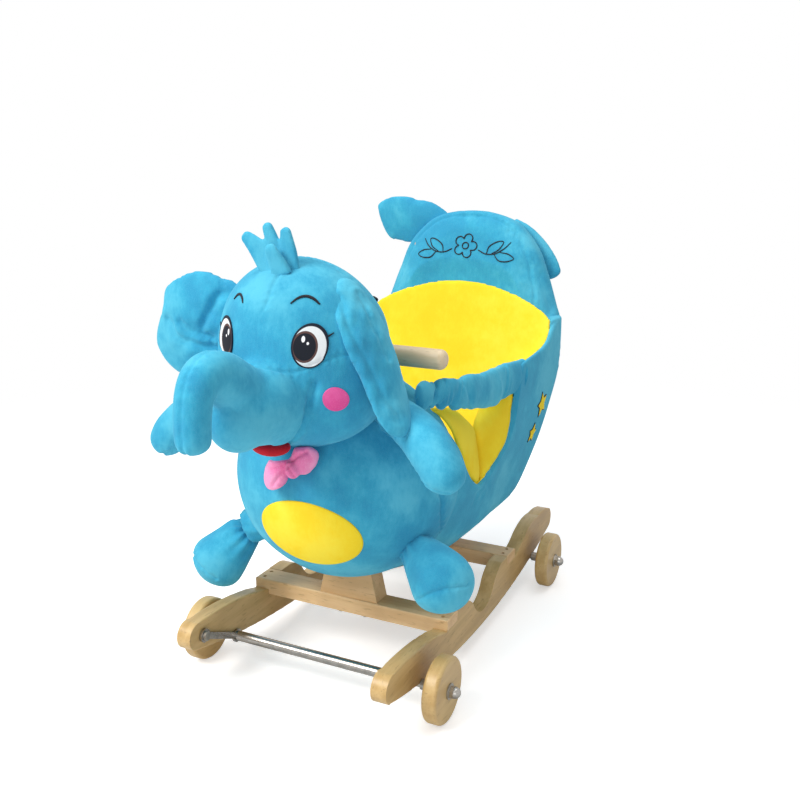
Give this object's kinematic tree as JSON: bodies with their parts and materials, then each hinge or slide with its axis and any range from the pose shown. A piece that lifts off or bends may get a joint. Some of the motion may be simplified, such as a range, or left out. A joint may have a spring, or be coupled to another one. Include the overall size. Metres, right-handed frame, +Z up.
{
  "type": "rocking elephant ride-on toy",
  "caption": "Plush elephant ride-on seat with handle bar and leg holes on a wooden rocking base whose wheels fold away over the rocker tips.",
  "frame": {"origin": "on the floor under the middle of the whole toy, wheels down", "axes": "+X is the toy's left, -Y its front where the trunk points, +Z up"},
  "size_m": [0.383, 0.7104, 0.5356],
  "materials": {
    "beech": "clear satin lacquer over pale beech",
    "plywood": "raw plywood",
    "blue_plush": "short-pile sky-blue plush",
    "yellow_plush": "short-pile yellow plush",
    "blue_felt": "blue felt strands",
    "pink_satin": "smooth pink satin",
    "black_zip": "black zip tape",
    "chrome_tube": "bright plated tube",
    "zinc_steel": "bright zinc-plated steel",
    "dark_screw": "bronzed countersunk screw"
  },
  "bodies": {
    "main_frame": {"rocker_left": "beech", "rocker_right": "beech", "front_crossbar": "beech", "rear_crossbar": "beech", "front_support_block": "beech", "rear_support_block": "beech", "seat_board": "plywood", "neck_post": "beech", "back_board": "plywood", "handle_bar": "beech", "crossbar_screws": "dark_screw", "block_bolts": "zinc_steel", "block_washers": "zinc_steel", "block_nuts": "zinc_steel", "pivot_screws": "zinc_steel", "plush_body": "blue_plush", "neck": "blue_plush", "neck_zip": "black_zip", "head": "blue_plush", "trunk": "blue_plush", "ear_left": "blue_plush", "ear_right": "blue_plush", "arm_left": "blue_plush", "arm_right": "blue_plush", "leg_left": "blue_plush", "leg_right": "blue_plush", "foot_left": "blue_plush", "foot_right": "blue_plush", "belly_patch": "yellow_plush", "side_panel_left": "blue_plush", "side_panel_right": "blue_plush", "rump": "blue_plush", "seat_base": "blue_plush", "backrest": "blue_plush", "back_flap_left": "blue_plush", "back_flap_right": "blue_plush", "strap_left": "blue_plush", "strap_right": "blue_plush", "seat_cushion": "yellow_plush", "lining_left": "yellow_plush", "lining_right": "yellow_plush", "lining_back": "yellow_plush", "hair_tuft": "blue_felt", "bow_tie": "pink_satin"},
    "front_axle": {"front_axle_rod": "zinc_steel", "front_axle_tube": "chrome_tube", "front_swing_arms": "zinc_steel", "front_axle_spacers": "zinc_steel", "front_hub_washers": "zinc_steel", "front_cap_nuts": "zinc_steel"},
    "front_left_wheel_body": {"front_left_wheel": "beech"},
    "front_right_wheel_body": {"front_right_wheel": "beech"},
    "rear_axle": {"rear_axle_rod": "zinc_steel", "rear_axle_tube": "chrome_tube", "rear_swing_arms": "zinc_steel", "rear_axle_spacers": "zinc_steel", "rear_hub_washers": "zinc_steel", "rear_cap_nuts": "zinc_steel"},
    "rear_left_wheel_body": {"rear_left_wheel": "beech"},
    "rear_right_wheel_body": {"rear_right_wheel": "beech"}
  },
  "joints": [
    {"name": "front_axle_fold", "type": "hinge", "parent": "main_frame", "child": "front_axle", "pos_m": [0, -0.19932, 0.067], "axis": [-1, 0, 0], "range_deg": [0, 248]},
    {"name": "rear_axle_fold", "type": "hinge", "parent": "main_frame", "child": "rear_axle", "pos_m": [0, 0.29668, 0.067], "axis": [1, 0, 0], "range_deg": [0, 300]},
    {"name": "front_left_wheel_spin", "type": "hinge", "parent": "front_axle", "child": "front_left_wheel_body", "pos_m": [0, -0.13882, 0.0375], "axis": [1, 0, 0], "continuous": true},
    {"name": "front_right_wheel_spin", "type": "hinge", "parent": "front_axle", "child": "front_right_wheel_body", "pos_m": [0, -0.13882, 0.0375], "axis": [1, 0, 0], "continuous": true},
    {"name": "rear_left_wheel_spin", "type": "hinge", "parent": "rear_axle", "child": "rear_left_wheel_body", "pos_m": [0, 0.23618, 0.0375], "axis": [1, 0, 0], "continuous": true},
    {"name": "rear_right_wheel_spin", "type": "hinge", "parent": "rear_axle", "child": "rear_right_wheel_body", "pos_m": [0, 0.23618, 0.0375], "axis": [1, 0, 0], "continuous": true}
  ]
}
